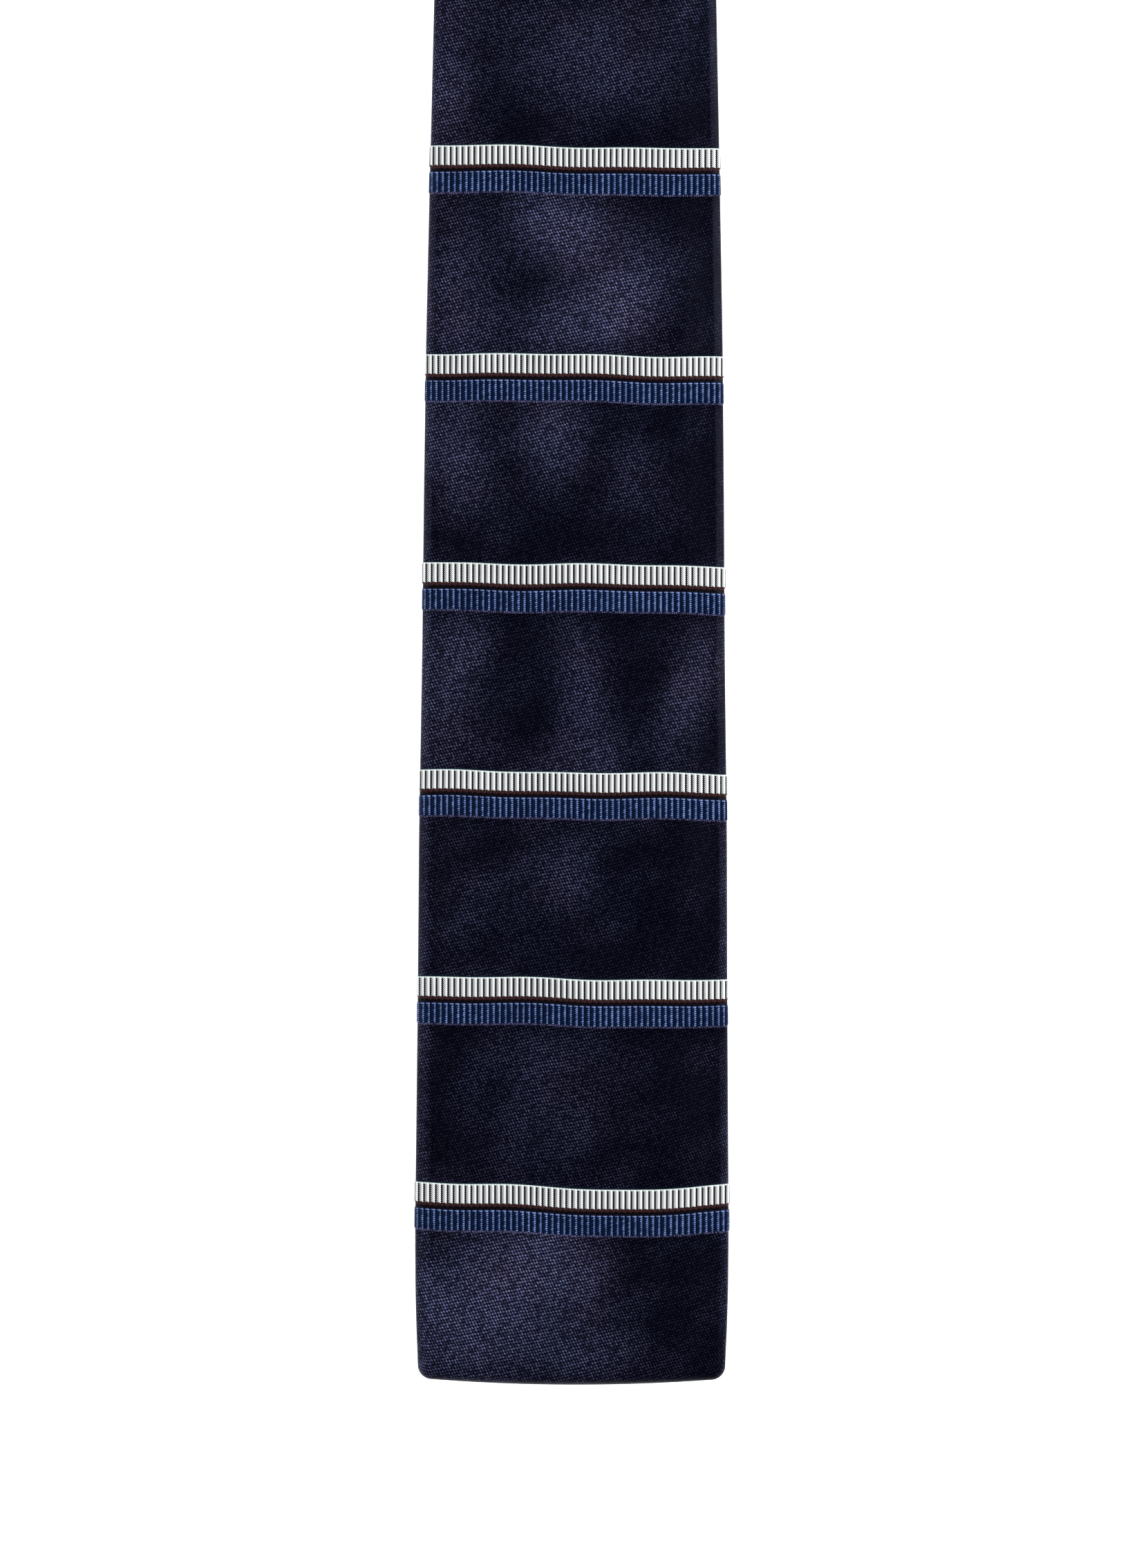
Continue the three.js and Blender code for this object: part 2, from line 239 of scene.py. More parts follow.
def strip_faces(upper, lower, upper_at, lower_at):
    """Triangles between two rows of points side by side, matched by their places along the row."""
    faces, i, j = [], 0, 0
    while i < len(upper) - 1 or j < len(lower) - 1:
        next_upper = upper_at[i + 1] if i < len(upper) - 1 else math.inf
        next_lower = lower_at[j + 1] if j < len(lower) - 1 else math.inf
        if next_upper <= next_lower:
            faces.append((upper[i], upper[i + 1], lower[j]))
            i += 1
        else:
            faces.append((upper[i], lower[j + 1], lower[j]))
            j += 1
    return faces


def folded_shut(chain, x):
    """Closes a chain of points that runs from the middle of the back round the face to the middle."""
    ends = sorted((min(chain, key=lambda i: x[i]), max(chain, key=lambda i: x[i])))
    first, last = chain.index(ends[0]), chain.index(ends[1])
    face = chain[first:last + 1]
    back = chain[first::-1] + chain[:last - 1:-1]
    way = 1 if x[face[-1]] > x[face[0]] else -1
    strip = strip_faces(face, back, [way * x[i] for i in face], [way * x[i] for i in back])
    return [triangle for triangle in strip if len(set(triangle)) == 3]


def tube(path, radius, sides=6):
    """A closed round tube along a list of points: its points, faces and UV."""
    path = np.asarray(path, float)
    along = np.gradient(path, axis=0)
    along /= np.linalg.norm(along, axis=1)[:, None]
    side = np.cross(along, np.where(np.abs(along[:, [2]]) > 0.9, [[1.0, 0, 0]], [[0, 0, 1.0]]))
    side /= np.linalg.norm(side, axis=1)[:, None]
    other = np.cross(along, side)
    angle = 2 * math.pi * np.arange(sides) / sides
    ring = np.cos(angle)[None, :, None] * side[:, None] + np.sin(angle)[None, :, None] * other[:, None]
    points = path[:, None] + radius * ring
    length = np.concatenate([[0], np.cumsum(np.linalg.norm(np.diff(path, axis=0), axis=1))])
    uv = np.stack(np.broadcast_arrays(radius * angle[None, :], length[:, None]), -1)
    faces = ring_faces(len(path), sides)
    faces += [tuple(range(sides)), tuple(range((len(path) - 1) * sides, len(path) * sides))]
    return points.reshape(-1, 3), faces, uv.reshape(-1, 2)


def tubes_object(name, paths, radius, material, sides=6):
    points, faces, uv, count = [], [], [], 0
    for path in paths:
        some_points, some_faces, some_uv = tube(path, radius, sides)
        points.append(some_points)
        uv.append(some_uv)
        faces += [tuple(i + count for i in face) for face in some_faces]
        count += len(some_points)
    return mesh_object(name, np.concatenate(points), faces, material, np.concatenate(uv))


# ---- relief, soft shape and painted sheen of the silk
def rib_profile(u):
    """0 in the groove between two ribs, and 1 on top of a rib."""
    across = np.abs(2 * np.mod(u / RIB, 1) - 1)
    return np.sqrt(np.clip(1 - across**2.4, 0, 1))


def band(v, edges):
    blur = 0.22 * MM
    at = np.mod(v, REPEAT)
    return smooth((at - edges[0]) / blur + 0.5) * smooth((edges[1] - at) / blur + 0.5)


def relief(u, v):
    """How far the woven stripes stand out of the satin."""
    rise = rib_profile(u)
    return (band(v, WHITE) * (0.05 + 0.17 * rise) + band(v, BLUE) * (0.03 + 0.12 * rise)) * MM


def ripples(x, s, seed, shortest, longest, count=9):
    """A sum of plane waves, about -1 to 1, the same on each run."""
    rng = np.random.default_rng(seed)
    total = np.zeros(np.broadcast(x, s).shape)
    for _ in range(count):
        length = rng.uniform(shortest, longest)
        angle = rng.uniform(0.15, math.pi - 0.15)
        phase = rng.uniform(0, 2 * math.pi)
        total += np.cos(2 * math.pi * (x * math.cos(angle) + s * math.sin(angle)) / length + phase)
    return total / math.sqrt(count)


def stray(x, v):
    """How far the stripes stray along the tie from straight across, as hand-pressed cloth does."""
    blade = smooth((FRONT_TURN.start - 20 * MM - v) / (30 * MM))
    low = np.exp(-(((v - 36 * MM) / (24 * MM)) ** 2))
    dip = low * (0.75 - 1.55 * np.exp(-(((x - 7 * MM) / (16 * MM)) ** 2)))
    lean = -0.011 * x * (1 - 0.8 * low)
    sag = -0.5 * MM * np.exp(-(((v - 137 * MM) / (27 * MM)) ** 2))
    wander = 0.14 * MM * np.sin(x / (6.5 * MM) + v / (23 * MM))
    wander = wander + 0.10 * MM * np.sin(x / (3.3 * MM) - v / (31 * MM))
    return blade * (0.9 * MM * dip + lean + sag) + wander


def blade_face(u, s):
    """1 on the face of the blade on top, which is free to puff up, and 0 on all that is pressed."""
    before_fold = smooth((FRONT_TURN.start - 12 * MM - s) / (30 * MM))
    return before_fold * smooth((half_width(s) - np.abs(u)) / (9 * MM))


def puff(u, x, s):
    """How far the silk stands out from flat."""
    soft = 0.22 * ripples(x, s, 11, 34 * MM, 75 * MM) + 0.05 * ripples(x, s, 5, 12 * MM, 24 * MM)
    crown = 0.35 * (1 - np.clip(np.abs(x) / (30 * MM), 0, 1) ** 2)
    return blade_face(u, s) * np.clip(0.25 + soft + crown, 0, 1.4) * MM


def pressed(u, x, s):
    """How far a pressed layer is set in, with shallow dips."""
    dips = 0.05 * MM * (1 + ripples(x, s, 21, 18 * MM, 50 * MM).clip(-1, 1))
    from_side = smooth((half_width(s) - np.abs(x)) / (1.2 * MM))
    return (dips + RIB_ROOM * (1 - blade_face(u, s))) * from_side


def painted_sheen_at(u, s):
    """How strong the painted sheen of the satin is: set patches on the blade, a strip along its left edge,
    and soft chance on the other layers.
    """
    patches = np.zeros(np.broadcast(u, s).shape)
    for at_u, at_s, half_u, half_s, lean, strength in SHEEN:
        turn = math.radians(lean)
        du, ds = u / MM - at_u, s / MM - at_s
        a = (du * math.cos(turn) + ds * math.sin(turn)) / half_u
        b = (ds * math.cos(turn) - du * math.sin(turn)) / half_s
        patches = patches + strength * np.exp(-(a * a + b * b) * 0.8)
    # painted sheen along the blade's left edge
    edge = 0.35 * smooth((-26.5 * MM - u) / (2 * MM)) * smooth((31 * MM + u) / (2 * MM))
    chance = 0.33 + 0.28 * ripples(u, s, 3, 22 * MM, 60 * MM)
    fine = 0.07 * ripples(u, s, 4, 7 * MM, 16 * MM)
    on_blade = smooth((285 * MM - s) / (40 * MM)) * smooth((31 * MM - np.abs(u)) / (4 * MM))
    return np.clip(on_blade * (patches + edge) + (1 - on_blade) * chance + fine, 0, 1.15)


def end_curve(x, width):
    """How far a square end stands back from its middle: a slight bow with rounded corners."""
    past = np.clip(np.abs(x) - (width - CORNER), 0, CORNER)
    return END_BOW * np.clip(np.abs(x) / width, 0, 1) ** 2 + CORNER - np.sqrt(CORNER**2 - past**2)


def section(u, width, inset):
    """Where cloth at u from the middle of the face lies on the flattened tube: x, and h."""
    flat = width - ROLL
    side, u = np.sign(u), np.abs(u)
    angle = np.clip((u - flat) / ROLL, 0, math.pi)
    x = np.where(u < flat, u, flat + (ROLL - inset) * np.sin(angle))
    x = np.where(u > flat + math.pi * ROLL, 2 * flat + math.pi * ROLL - u, x)
    return side * x, ROLL - (ROLL - inset) * np.cos(angle)


def opening(width, distance, apex):
    """Where each flap's free edge is: -LAP past the middle where they lap, and wider above a square end."""
    share = np.clip((apex - distance) / (apex - HEM), 0, 1)
    parted = -LAP + (width - HEM + LAP) * share**0.92
    return np.where(distance < HEM, 0, parted)


# ---- the silk envelope
def stripe_rows(first, last, stripes_from):
    """Places of the mesh's rows: close at the stripes' edges and in the folds, and wide on plain satin."""
    marks = list(np.linspace(WHITE[1] + 2 * MM - REPEAT, BLUE[0] - 2 * MM, 10))
    for low, high in (BLUE, WHITE):
        marks += [low - 0.16 * MM, low, low + 0.16 * MM, low + 0.5 * MM, (low + high) / 2]
        marks += [high - 0.5 * MM, high - 0.16 * MM, high, high + 0.16 * MM]
    low_cell = math.floor((first - stripes_from) / REPEAT) - 1
    high_cell = math.ceil((last - stripes_from) / REPEAT) + 1
    starts = [stripes_from + cell * REPEAT for cell in range(low_cell, high_cell)]
    rows = np.array([start + mark for start in starts for mark in marks])
    for turn in (FRONT_TURN, NECK_TURN, TAIL_TURN):
        steps = np.linspace(turn.start, turn.start + turn.length, 27)
        clear = (rows < steps[0] - 0.3 * MM) | (rows > steps[-1] + 0.3 * MM)
        rows = np.concatenate([rows[clear], steps])
    return rows[(rows > first) & (rows < last)]


def seam_rows(seam, inward):
    close = np.array([0, 0.1, 0.25, 0.45, 0.7])
    return seam + inward * MM * np.concatenate([close, np.arange(1.2, SEAM_FADE / MM, 0.62)])


def end_rows(tip, inward):
    curl = ROLL * (1 - np.cos(np.radians(np.linspace(0, 90, 12))))
    hem = np.array([HEM - 0.02 * MM, HEM + 0.02 * MM])
    return tip + inward * np.concatenate([curl, hem])


class SilkPiece:
    """One cut piece of silk, SILK thick, wrapped round the tie from first to last."""

    def __init__(self, name, first, last, stripes_from, ribs, steps, tip=None, apex=None, seams=()):
        self.name, self.first, self.last, self.stripes_from = name, first, last, stripes_from
        self.tip, self.apex, self.seams = tip, apex, seams
        self.fixed = np.arange(-ribs * steps, ribs * steps + 1) * RIB / steps
        self.v = self.rows()[:, None]
        self.width = half_width(self.v)
        self.distance = np.abs(self.v - tip) if tip is not None else np.full_like(self.v, 1)
        self.past = opening(self.width, self.distance, apex) if apex else np.full_like(self.v, -LAP)
        self.reach = 2 * (self.width - ROLL) + math.pi * ROLL - self.past

    def rows(self):
        rows = stripe_rows(self.first, self.last, self.stripes_from)
        for seam in self.seams:
            inward = 1 if seam == self.first else -1
            rows = rows[np.abs(rows - seam) > SEAM_FADE]
            rows = np.concatenate([rows, seam_rows(seam, inward)])
        if self.tip is not None:
            inward = 1 if self.tip == self.first else -1
            rows = rows[np.abs(rows - self.tip) > ROLL + 0.2 * MM]
            rows = np.concatenate([rows, end_rows(self.tip, inward)])
        return np.unique(rows.round(7))

    def bias(self, x):
        """How far the rows are turned along the bias, next to a seam."""
        turned = 0
        for seam in self.seams:
            turned = turned + x * smooth(1 - np.abs(self.v - seam) / SEAM_FADE)
        return turned

    def surface(self, u, inset, woven):
        """Cloth-space points of the outside (inset 0, woven) or the inside of the silk."""
        x, _ = section(u, self.width, inset)
        v_cloth = self.v + self.bias(x)
        sunk = inset - puff(u, x, self.v) + pressed(u, x, self.v)
        for seam in self.seams:
            sunk = sunk + 0.4 * MM * np.clip(1 - np.abs(self.v - seam) / (0.8 * MM), 0, 1) ** 2
        if woven:
            shown = smooth((self.fixed[-1] - np.abs(u)) / (3 * MM))
            sunk = sunk - relief(u, v_cloth - self.stripes_from) * shown
        x, h = section(u, self.width, sunk)
        on_back = np.abs(u) > self.width
        tuck = LAP_STEP * smooth((x + 5 * MM) / (4 * MM)) * smooth((self.distance - HEM) / (2 * MM))
        h = h - np.where(on_back & (u < 0), tuck, 0)
        if self.apex:
            near_edge = smooth(1 - (self.reach - np.abs(u)) / (4 * MM))
            h = h - 0.4 * MM * near_edge * smooth((self.past + LAP) / (4 * MM)) * on_back
        s = v_cloth + stray(x, self.v) * smooth(self.distance / (15 * MM))
        if self.tip is not None:
            s, h = self.close_end(x, s, h, inset)
        return x, s, h

    def close_end(self, x, s, h, inset):
        """Rolls the face round to the back at a square end."""
        open_share = np.clip(self.distance / ROLL, 0, 1)
        h = ROLL + (h - ROLL) * np.maximum(np.sqrt(1 - (1 - open_share) ** 2), 0.006)
        set_in = inset * (1 - open_share)
        back_from_tip = set_in + end_curve(x, self.width) * (1 - smooth(self.distance / (15 * MM)))
        return s + back_from_tip * (1 if self.tip == self.first else -1), h

    def build(self, material):
        beyond = np.linspace(0, 1, 33)[None, 1:]
        edge = self.fixed[-1]
        flap = edge + (self.reach - edge) * beyond
        middle = np.repeat(self.fixed[None, :], len(self.v), 0)
        u_out = np.concatenate([-flap[:, ::-1], middle, flap], 1)
        u_in = self.reach * np.linspace(-1, 1, 65)[None, :]
        outside = self.surface(u_out, 0.0, True)
        inside = self.surface(u_in, SILK, False)
        rings = []
        for out, into, is_x in zip(outside, inside, (True, False, False)):
            bulge = 0.12 * MM if is_x else 0
            right = (out[:, -1:] + into[:, -1:]) / 2 - bulge
            left = (out[:, :1] + into[:, :1]) / 2 + bulge
            rings.append(np.concatenate([out, right, into[:, ::-1], left], 1))
        u_ring = np.concatenate([u_out, self.reach, u_in[:, ::-1], -self.reach], 1)
        v_ring = self.v + self.bias(rings[0]) - self.stripes_from
        if self.tip is not None:
            around = np.arccos(np.clip(1 - self.distance / ROLL, 0, 1))
            spared = ROLL * (around + 1 - math.pi / 2) - np.minimum(self.distance, ROLL)
            v_ring = v_ring + spared * (1 if self.tip == self.first else -1)
        haze = painted_sheen_at(u_ring, self.v)
        faces = self.faces(u_out, u_in, rings[0])
        return mesh_object(self.name, lay(*rings), faces, material, np.stack([u_ring, v_ring], -1), haze)

    def faces(self, u_out, u_in, x):
        n_out, n_in = u_out.shape[1], u_in.shape[1]
        count = n_out + n_in + 2
        faces = ring_faces(len(self.v), count)
        for row in (0, len(self.v) - 1):
            base = row * count
            if self.tip is not None and abs(self.v[row, 0] - self.tip) < 0.01 * MM:
                outer = list(range(base, base + n_out))
                inner = list(range(base + n_out + 1, base + n_out + 1 + n_in))
                flat_x = x.ravel()
                faces += folded_shut(outer, flat_x) + folded_shut(inner, flat_x)
                faces.append((outer[-1], base + n_out, inner[0], inner[-1], base + count - 1, outer[0]))
                continue
            outer = [base + count - 1, *range(base, base + n_out), base + n_out]
            inner = [base + count - 1, *range(base + n_out + n_in, base + n_out, -1), base + n_out]
            share = u_out[row] / self.reach[row]
            outer_at = [-1.01, *share, 1.01]
            inner_at = [-1.005, *np.linspace(-1, 1, n_in), 1.005]
            faces += [f for f in strip_faces(outer, inner, outer_at, inner_at) if len(set(f)) == 3]
        return faces


# ---- shader maths
class Value:
    """A number in a node tree, so that shader maths reads as maths."""

    def __init__(self, tree, socket):
        self.tree, self.socket = tree, socket

    def math(self, operation, *others):
        node = self.tree.nodes.new("ShaderNodeMath")
        node.operation = operation
        for i, other in enumerate((self, *others)):
            if isinstance(other, Value):
                self.tree.links.new(other.socket, node.inputs[i])
            else:
                node.inputs[i].default_value = other
        return Value(self.tree, node.outputs[0])

    def __add__(self, other):
        return self.math("ADD", other)

    def __sub__(self, other):
        return self.math("SUBTRACT", other)

    def __rsub__(self, other):
        return (self * -1) + other

    def __mul__(self, other):
        return self.math("MULTIPLY", other)

    def __truediv__(self, other):
        return self.math("DIVIDE", other)

    __radd__, __rmul__ = __add__, __mul__

    def fract(self):
        return self.math("FRACT")

    def floor(self):
        return self.math("FLOOR")

    def size(self):
        return self.math("ABSOLUTE")

    def wave(self):
        """0 to 1 and back in each whole step."""
        return (self * (2 * math.pi)).math("SINE") * 0.5 + 0.5

    def from_middle(self):
        """How far a share of a cell, 0 to 1, is from the cell's middle."""
        return (self - 0.5).size()

    def window(self, *steps):
        """Up from 0 to 1 between the first two steps, and down again between the last two."""
        return self.ramp(steps[0], steps[1]) * self.ramp(steps[3], steps[2])

    def ramp(self, low, high, to_low=0.0, to_high=1.0):
        """Smoothly from to_low at low to to_high at high, and level outside."""
        node = self.tree.nodes.new("ShaderNodeMapRange")
        node.interpolation_type = "SMOOTHSTEP"
        if low > high:
            low, high, to_low, to_high = high, low, to_high, to_low
        sockets = ("From Min", "From Max", "To Min", "To Max")
        for name, value in zip(sockets, (low, high, to_low, to_high)):
            node.inputs[name].default_value = value
        self.tree.links.new(self.socket, node.inputs["Value"])
        return Value(self.tree, node.outputs["Result"])


def srgb(red, green, blue):
    def linear(c):
        c /= 255
        return c / 12.92 if c < 0.04045 else ((c + 0.055) / 1.055) ** 2.4
    return (linear(red), linear(green), linear(blue), 1)


class Cloth:
    """A material whose pattern follows the cloth: u across and v along it, in millimetres."""

    def __init__(self, name):
        self.material = bpy.data.materials.new(name)
        self.material.use_nodes = True
        self.tree = self.material.node_tree
        self.shader = self.tree.nodes["Principled BSDF"]
        uv = self.tree.nodes.new("ShaderNodeUVMap")
        uv.uv_map = "cloth"
        split = self.tree.nodes.new("ShaderNodeSeparateXYZ")
        self.tree.links.new(uv.outputs[0], split.inputs[0])
        self.u = Value(self.tree, split.outputs[0]) * 1000
        self.v = Value(self.tree, split.outputs[1]) * 1000
        self.rib = self.u / (RIB / MM)

    def pair(self, a, b):
        node = self.tree.nodes.new("ShaderNodeCombineXYZ")
        self.tree.links.new(a.socket, node.inputs[0])
        self.tree.links.new(b.socket, node.inputs[1])
        return node.outputs[0]

    def noise(self, size_u, size_v, detail=2.0):
        """Soft noise, 0 to 1, with patches of about that size in millimetres."""
        node = self.tree.nodes.new("ShaderNodeTexNoise")
        node.noise_dimensions = "2D"
        node.inputs["Scale"].default_value = 1
        node.inputs["Detail"].default_value = detail
        self.tree.links.new(self.pair(self.u / size_u, self.v / size_v), node.inputs["Vector"])
        return Value(self.tree, node.outputs[0])

    def attribute(self, name):
        node = self.tree.nodes.new("ShaderNodeAttribute")
        node.attribute_name = name
        return Value(self.tree, node.outputs["Fac"])

    def chance(self, a, b):
        """A fixed random number, 0 to 1, for each pair of whole numbers."""
        node = self.tree.nodes.new("ShaderNodeTexWhiteNoise")
        node.noise_dimensions = "2D"
        self.tree.links.new(self.pair(a, b), node.inputs["Vector"])
        return Value(self.tree, node.outputs["Value"])

    def mix(self, share, first, second):
        """A colour between two colours. Each is four numbers or another mix."""
        node = self.tree.nodes.new("ShaderNodeMix")
        node.data_type = "RGBA"
        self.tree.links.new(share.socket, node.inputs[0])
        for colour, socket in ((first, node.inputs[6]), (second, node.inputs[7])):
            if isinstance(colour, tuple):
                socket.default_value = colour
            else:
                self.tree.links.new(colour, socket)
        return node.outputs[2]

    def finish(self, colour, roughness, height=None, depth=0.03, specular=0.3, tint=(1, 1, 1, 1)):
        """roughness is a number or a Value, and height a Value that gives depth mm of bump."""
        self.tree.links.new(colour, self.shader.inputs["Base Color"])
        if isinstance(roughness, Value):
            self.tree.links.new(roughness.socket, self.shader.inputs["Roughness"])
        else:
            self.shader.inputs["Roughness"].default_value = roughness
        self.shader.inputs["Specular IOR Level"].default_value = specular
        self.shader.inputs["Specular Tint"].default_value = tint
        if height is not None:
            bump = self.tree.nodes.new("ShaderNodeBump")
            bump.inputs["Distance"].default_value = depth * MM
            self.tree.links.new(height.socket, bump.inputs["Height"])
            self.tree.links.new(bump.outputs[0], self.shader.inputs["Normal"])
        return self.material


# ---- materials
SATIN_TINT = (0.62, 0.66, 1.0, 1)


def satin_ground(cloth):
    """Dark satin: short slanting floats of lavender yarn on near black, their brightness a painted glint
    that, like the ground's lightness, follows the painted sheen. Returns colour and height.
    """
    u, v = cloth.u, cloth.v
    across = u * 1.749 + v * 0.8056
    along = u * 0.3856 - v * 1.6144
    spark = cloth.chance(across.floor(), along.floor())
    slip = cloth.chance(along.floor(), across.floor()) * 0.2 - 0.1
    a = across.fract() - 0.5 + slip * 0.5
    b = along.fract() - 0.5 + slip
    dash = (a * b * 7.9 - a * a * 17.5 - b * b * 13.8).math("EXPONENT")
    grain = (cloth.noise(0.15, 0.15, 1.0) * 4.4 - 1.1).math("MAXIMUM", 0.05)
    haze = cloth.attribute("haze")
    # the ground lightens where the painted sheen is strong
    ground = cloth.mix(haze, srgb(0, 0, 7), srgb(6, 6, 20))
    # painted glint: the floats' brightness, scaled by the painted sheen
    glint = dash * grain * (spark * 0.85 + 0.18) * (haze * 0.76 + 0.06)
    yarn = cloth.mix(cloth.noise(16, 16), srgb(147, 137, 184), srgb(122, 140, 194))
    return cloth.mix(glint.math("MINIMUM", 1.0), ground, yarn), dash


def white_rib(cloth):
    """Off-white cord ribs: steep twill lines, painted shade on each rib's left side, strongest across the
    tie's left half, and a narrow toothed groove of painted shade.
    """
    u = cloth.u
    at = cloth.rib.fract()
    from_groove = 0.5 - at.from_middle()
    line = (cloth.v / 0.38 - u / 0.42).fract().window(0.3, 0.6, 0.8, 1.0)
    # the groove between ribs is painted shade, nearly black, with a toothed edge
    groove = (from_groove - line * 0.06).ramp(0.2, 0.08)
    # painted shade on the left side of each rib, as from light on its right; side sets its strength across
    # the tie
    left = at.ramp(0.78, 0.18)
    side = u.ramp(26, -6, 0.6, 0.85) - u.ramp(-6, -22, 0.0, 0.13)
    shade = left * side * (cloth.noise(12, 9) * 0.8 + 0.6)
    # lit and painted-shade colours of the white yarn
    lit = cloth.mix(shade, srgb(252, 253, 253), srgb(138, 141, 144))
    # twill lines, darker where the painted shade is
    lined = cloth.mix(line * (left * 0.66 + 0.24), lit, srgb(52, 56, 60))
    return cloth.mix(groove, lined, srgb(16, 20, 24))


def blue_rib(cloth):
    """Blue ribs: a ladder of short slanting light floats on dark navy, shown as a painted highlight on each
    rib's right side, wider at random and, as painted sheen, towards the tie's right.
    """
    at = cloth.rib.fract()
    step = cloth.v / 0.385 - at * 1.1
    chance = cloth.chance(step.floor(), cloth.rib.floor())
    # the highlit part of each rib widens at random and, as painted sheen, towards the tie's right
    fullness_and_sheen = cloth.u.ramp(-5, 20, 0.022, 0.045) + cloth.noise(14, 10) * 0.14 + chance * 0.12
    rung = step.fract().window(0.1, 0.42, 0.58, 0.9)
    # painted highlight on the right side of each rib
    highlit_side = (at + fullness_and_sheen).ramp(0.68, 0.82) * at.ramp(0.92, 0.80)
    # rungs on the rest of the rib, brighter with the painted sheen
    hatch = rung * (at + fullness_and_sheen).ramp(0.25, 0.45) * (fullness_and_sheen * 2.5 + 0.2)
    base = cloth.mix(hatch.math("MINIMUM", 1.0), srgb(1, 7, 27), srgb(15, 42, 88))
    # the light floats there, brightened as a painted highlight
    painted_float_highlight = highlit_side * (rung * 0.92 + 0.08) * (chance * 0.5 + 0.5) * (cloth.noise(9, 9) * 0.6 + 0.6)
    return cloth.mix(painted_float_highlight.math("MINIMUM", 1.0), base, srgb(134, 158, 216))


def silk_material():
    """Satin with a white and a blue ribbed stripe in each repeat."""
    cloth = Cloth("striped_silk")
    rib_at, rib_no = cloth.rib.fract(), cloth.rib.floor()
    repeat = cloth.v / (REPEAT / MM)
    at, repeat_no = repeat.fract() * (REPEAT / MM), repeat.floor()
    bead = (rib_at * 2 + 0.25).fract().from_middle().ramp(0.5, 0.2)
    arch = (rib_at - 0.45) * (rib_at - 0.45) * -0.96 + 0.2
    low, high = WHITE[0] / MM, WHITE[1] / MM
    blue_low, blue_high = BLUE[0] / MM, BLUE[1] / MM
    chance = cloth.chance(rib_no, repeat_no)
    white = (at - arch).ramp(low - 0.06, low + 0.06) * (at + bead * 0.1).ramp(high + 0.12, high)
    blue = (at + chance * 0.2).ramp(blue_low + 0.02, blue_low + 0.22)
    blue = blue * at.ramp(blue_high + 0.12, blue_high - 0.08)
    fringe = (at - arch + bead * 0.1).ramp(low - 0.6, low - 0.3) * at.ramp(low + 0.5, low + 0.2)
    gap = at.window(blue_high - 0.05, blue_high + 0.1, low - 0.1, low + 0.2)
    top_line = at.window(high - 0.02, high + 0.08, high + 0.16, high + 0.42)
    top_edge = at.window(high - 0.26, high - 0.12, high, high + 0.1) * (bead * 0.55 + 0.25)
    # painted highlight in a row along the top edge of the blue stripe
    blue_top_highlight = at.window(blue_high - 0.30, blue_high - 0.18, blue_high - 0.14, blue_high - 0.02)
    blue_top_highlight = blue_top_highlight * (rib_at - 0.58).size().ramp(0.42, 0.22) * (chance * 0.4 + 0.35)
    dot = cloth.u / 0.36
    dots = at.window(blue_low - 0.42, blue_low - 0.2, blue_low - 0.05, blue_low + 0.12) * 0.7
    dots = dots * (dot + repeat_no * 0.37).fract().from_middle().ramp(0.42, 0.1)
    dots = dots * (cloth.chance(dot.floor(), repeat_no) * 0.8 + 0.1)

    colour, dash = satin_ground(cloth)
    colour = cloth.mix(dots, colour, srgb(126, 124, 178))
    colour = cloth.mix(blue, colour, blue_rib(cloth))
    colour = cloth.mix(blue_top_highlight, colour, srgb(134, 158, 216))
    colour = cloth.mix(gap, colour, srgb(9, 7, 12))
    colour = cloth.mix(fringe * (bead * 0.5 + 0.5), colour, srgb(60, 36, 36))
    colour = cloth.mix(top_line * 0.8, colour, srgb(14, 34, 38))
    colour = cloth.mix(white, colour, white_rib(cloth))
    colour = cloth.mix(top_edge, colour, srgb(232, 246, 246))
    ribbed = (white + blue).math("MINIMUM", 1.0)
    height = dash * (1 - ribbed) * 0.5 + ribbed * (cloth.v / 0.4 - cloth.u / 0.62).wave()
    roughness = ribbed * 0.12 + cloth.noise(9, 14) * 0.12 + 0.36
    return cloth.finish(colour, roughness, height, 0.02, specular=0.06, tint=SATIN_TINT)


def woven(name, dark, light, pitch=0.35, roughness=0.6, specular=0.3, depth=0.03):
    """Plain-woven cloth: over-and-under squares of yarn, a little uneven."""
    cloth = Cloth(name)
    a, b = cloth.u / pitch, cloth.v / pitch
    warp = a.fract().from_middle().ramp(0.5, 0.1)
    weft = b.fract().from_middle().ramp(0.5, 0.1)
    over = (a.floor() + b.floor()).math("PINGPONG", 1.0)
    yarn = warp * over + weft * (1 - over)
    tone = yarn * (cloth.chance(a.floor(), b.floor()) * 0.4 + 0.5) + cloth.noise(8, 8) * 0.15
    return cloth.finish(cloth.mix(tone, dark, light), roughness, yarn, depth, specular)


def keeper_material():
    """The same satin ground as the silk, without its stripes."""
    cloth = Cloth("keeper_satin")
    colour, dash = satin_ground(cloth)
    roughness = cloth.noise(9, 14) * 0.12 + 0.36
    return cloth.finish(colour, roughness, dash, 0.02, specular=0.06, tint=SATIN_TINT)


